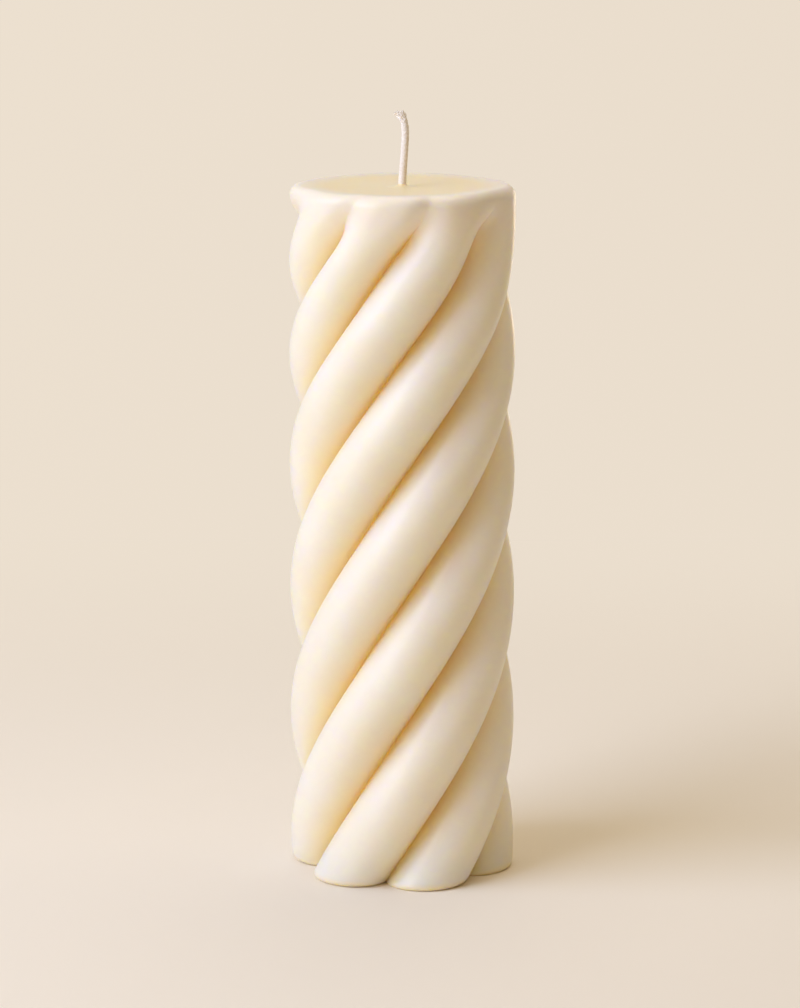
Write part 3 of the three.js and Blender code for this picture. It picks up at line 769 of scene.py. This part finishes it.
def sustainer_profile():
    """Closed profile of (radius, height, share) round the cut face of the sheet, with softened edges."""
    top = DISC_FOOT + SHEET
    ring = np.linspace(RING_RADIUS - RING_HALF, RING_RADIUS + RING_HALF, 17)
    up = np.linspace(DENT_MIDDLE - DENT_HALF, DENT_MIDDLE + DENT_HALF, 17)
    across = [NECK_OUT, 3.0, 4.0, *ring, 6.6]
    points = [(r, DISC_FOOT + ring_height(r), 0) for r in across]
    points += [(DISC - SOFT, DISC_FOOT, 0), (DISC, DISC_FOOT + SOFT, 0)]
    points += [(DISC, top - SOFT, 0), (DISC - SOFT, top, 0)]
    points += [(r, top + ring_height(r), 0) for r in reversed(across) if r > NECK_OUT + BEND]
    for a in np.linspace(0, pi / 2, 9):
        points.append((NECK_OUT + BEND * (1 - sin(a)), top + BEND * (1 - cos(a)), 0))
    points += [(NECK_OUT, z, dent_share(z)) for z in up]
    points += [(NECK_OUT, NECK_TOP - SOFT, 0), (NECK_OUT - SOFT, NECK_TOP, 0)]
    points += [(NECK_IN + SOFT, NECK_TOP, 0), (NECK_IN, NECK_TOP - SOFT, 0)]
    points += [(NECK_IN, z, dent_share(z)) for z in reversed(up)]
    return points + [(NECK_IN, top, 0), (NECK_OUT - 0.1, DISC_FOOT + 0.05, 0), points[0]]


print("rings in the stamping:", len(sustainer_profile()))

# %% Stamped tinplate
TIN_BRIGHT, TIN_DULL = "#d8d6d1", "#b9b6b0"
ROLLED_LENGTH, ROLLED_PITCH = 6 * MM, 0.12 * MM    # of the fine lines, drawn coarse enough to show
STAMPED_WAVE = 3 * MM         # across one unevenness from the stamping


def rolled_tinplate():
    """Bright tin with fine rolling lines along X and an uneven skin from the stamping."""
    material, put = new_material("rolled_tinplate_stamped")
    place = put("ShaderNodeTexCoord").outputs["Object"]
    stretch = 1 / ROLLED_LENGTH, 1 / ROLLED_PITCH, 1 / ROLLED_PITCH
    grain = put("ShaderNodeMapping", {"Vector": place, "Scale": stretch})
    lines = put("ShaderNodeTexNoise", {"Vector": grain, "Scale": 1.0, "Detail": 3.0})
    cloud = put("ShaderNodeTexNoise", {"Vector": place, "Scale": 1 / STAMPED_WAVE, "Detail": 2.0})
    dull = put("ShaderNodeMapRange", (cloud, 0.35, 0.7, 0.0, 1.0))
    colour = put("ShaderNodeMix",
                 {"Factor": dull, "A": hex_colour(TIN_BRIGHT), "B": hex_colour(TIN_DULL)}, data_type="RGBA")
    rough = put("ShaderNodeMapRange", (lines, 0.3, 0.7, 0.24, 0.42))
    waves = put("ShaderNodeBump", {"Strength": 0.5, "Distance": 0.05 * MM, "Height": cloud})
    skin = put("ShaderNodeBump", {"Strength": 0.4, "Distance": 0.01 * MM, "Height": lines, "Normal": waves})
    shader = put("ShaderNodeBsdfPrincipled", {
        "Base Color": colour.outputs[2], "Metallic": 1.0, "Roughness": rough, "Normal": skin})
    put("ShaderNodeOutputMaterial", {"Surface": shader})
    return material


sustainer = wrap("wick_sustainer_stamping", sustainer_profile(), {
    "Lobes": DENTS, "Columns per Lobe": 24, "Crown Radius": NECK_OUT * MM,
    "Half Thickness": DENT_LOBE / 2 * MM,
    "Half Width": half_width(NECK_OUT, DENT_DEPTH, DENT_LOBE, DENTS) * MM, "Groove Depth": DENT_DEPTH * MM,
    "Groove Floor": 0.05 * MM, "Material": rolled_tinplate()})
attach(sustainer, "root")
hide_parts("wick_sustainer")
describe(sustainer)

# %% [markdown]
# The floor and the wall behind are one sheet of warm pale paper, bent in a wide curve so that no edge shows.
# Matt paper has no gloss to speak of, so a rough shader with a very faint cloudiness is enough. Round the
# candle the paper is lit as everything is, and it takes the shadow. Further off the camera sees a set colour
# in its place, a little lighter on the left than on the right as a painted falloff of the light, and past
# the edges of the paper the room has an even colour. So the background is pale by its colour and needs no
# more light than the candle.

# %% Paper sweep
PAPER, PAPER_CLOUD = "#f5f0e3", "#f3eddf"
MOTTLE_SIZE = 0.4             # metres across one cloud in the paper
# painted falloff: the far wall is lighter on the left, where the key light stands, than on the right
WALL_LEFT, WALL_RIGHT = "#eee2d2", "#e8dbca"
WALL_SPAN = -0.8, 0.8         # metres from left to right over which one turns into the other
EVEN_BEHIND = 0.08, 0.45      # metres behind the candle between which the even colour takes over
EVEN_AROUND = 0.5, 1.0        # and on the other sides, which only views from there show
EVEN_ROOM = "#ebdfce"         # what is seen past the edges of the paper
SWEEP_FRONT, SWEEP_BACK, SWEEP_BEND, SWEEP_WIDE, SWEEP_TALL = -2.5, 1.2, 0.9, 3.0, 2.6


def paper_sweep():
    """Floor, bend and wall as one smooth sheet."""
    bend = [(SWEEP_BACK + SWEEP_BEND * sin(a), SWEEP_BEND * (1 - cos(a)))
            for a in np.linspace(0, pi / 2, 25)]
    line = [(SWEEP_FRONT, 0.0), (0.0, 0.0)] + bend + [(SWEEP_BACK + SWEEP_BEND, SWEEP_TALL)]
    points = [(x, y, z) for y, z in line for x in (-SWEEP_WIDE, SWEEP_WIDE)]
    faces = [(2 * i, 2 * i + 1, 2 * i + 3, 2 * i + 2) for i in range(len(line) - 1)]
    mesh = bpy.data.meshes.new("paper_sweep")
    mesh.from_pydata(points, [], faces)
    mesh.shade_smooth()
    sweep = bpy.data.objects.new("paper_sweep", mesh)
    bpy.context.collection.objects.link(sweep)
    return sweep


def seen_directly(put):
    """1 for what the camera sees, also in a gloss or through glass, and 0 for light on its way elsewhere."""
    ray = put("ShaderNodeLightPath").outputs
    seen = put("MAXIMUM", (ray["Is Camera Ray"], ray["Is Glossy Ray"]))
    return put("MAXIMUM", (seen, ray["Is Transmission Ray"]))


def background_paper():
    """Rough paper with a faint cloudiness. Far from the candle the camera sees a set colour, with painted
    falloff from the lighter left to the darker right.
    """
    material, put = new_material("matt_background_paper")
    place = put("ShaderNodeTexCoord").outputs["Object"]
    mottle = put("ShaderNodeTexNoise", {"Vector": place, "Scale": 1 / MOTTLE_SIZE, "Detail": 2.0})
    cloudy = put("ShaderNodeMapRange", (mottle, 0.3, 0.7, 0.0, 1.0))
    tone = put("ShaderNodeMix",
               {"Factor": cloudy, "A": hex_colour(PAPER), "B": hex_colour(PAPER_CLOUD)}, data_type="RGBA")
    lit = put("ShaderNodeBsdfPrincipled", {"Base Color": tone.outputs[2], "Roughness": 0.9})
    side = put("ShaderNodeSeparateXYZ", (place,)).outputs
    across = put("ShaderNodeMapRange", (side[0], *WALL_SPAN, 0.0, 1.0))
    wall = put("ShaderNodeMix", {"Factor": across, "A": hex_colour(WALL_LEFT), "B": hex_colour(WALL_RIGHT)},
               data_type="RGBA")
    # the far colour, with its painted falloff from left to right
    even = put("ShaderNodeEmission", {"Color": wall.outputs[2], "Strength": 1.0})
    away = put("ShaderNodeVectorMath", (place,), operation="LENGTH").outputs["Value"]
    far = [put("ShaderNodeMapRange", (value, *zone, 0.0, 1.0), interpolation_type="SMOOTHSTEP")
           for value, zone in ((side[1], EVEN_BEHIND), (away, EVEN_AROUND))]
    share = put("MULTIPLY", (seen_directly(put), put("MAXIMUM", far)))
    mixed = put("ShaderNodeMixShader", (share, lit, even))
    put("ShaderNodeOutputMaterial", {"Surface": mixed})
    return material


paper = background_paper()
sweep = paper_sweep()
sweep.data.materials.append(paper)
print("paper sweep", tuple(round(side, 2) for side in sweep.dimensions), "m")

# %% [markdown]
# One large soft box with cool light stands to the left and in front, higher than the candle. It lights the
# left side of every lobe and lets the right side fall off into tan. A wide box under the ceiling lights the
# open face, the upper side of the lobes and the floor, and a small warm one low on the left lifts the left
# edge. A weak box behind on the right draws the thin bright line along the right edges. The room adds a dim
# golden light from all sides, which is what the shadows on the wax are filled with.

# %% Studio light
def soft_box(name, place, target, size, power, colour):
    """A square area light at a place in metres, turned towards a target."""
    light = bpy.data.lights.new(name, "AREA")
    light.shape = "SQUARE"
    light.size, light.energy, light.color = size, power, hex_colour(colour)[:3]
    lamp = bpy.data.objects.new(name, light)
    lamp.location = place
    lamp.rotation_euler = (Vector(target) - Vector(place)).to_track_quat("-Z", "Y").to_euler()
    bpy.context.collection.objects.link(lamp)


soft_box("key_box", (-1.2, -0.62, 1.05), (0, 0, 0.1), 1.3, 25.6, "#d3e0ff")
soft_box("ceiling_box", (0.2, 0.3, 1.9), (0, 0, 0), 1.4, 13.5, "#fff3e4")
soft_box("front_box", (-0.92, -1.15, 0.4), (0, 0, 0.1), 0.6, 2.9, "#ffeed8")
soft_box("edge_box", (0.4, 0.95, 0.14), (0, 0, 0.1), 0.28, 0.6, "#ffead0")

# %% The room
ROOM_GLOW, GLOW_STRENGTH = "#ffd588", 0.215

room = bpy.data.worlds.new("pale_room")
room.use_nodes = True
room.node_tree.nodes.clear()
put = partial(add, room.node_tree)
glow = put("ShaderNodeBackground", {"Color": hex_colour(ROOM_GLOW), "Strength": GLOW_STRENGTH})
pale = put("ShaderNodeBackground", {"Color": hex_colour(EVEN_ROOM), "Strength": 1.0})
either = put("ShaderNodeMixShader", (seen_directly(put), glow, pale))
put("ShaderNodeOutputWorld", {"Surface": either})
bpy.context.scene.world = room
bpy.context.scene.view_settings.view_transform = "Standard"
print("world:", room.name, "with", len(room.node_tree.nodes), "nodes")
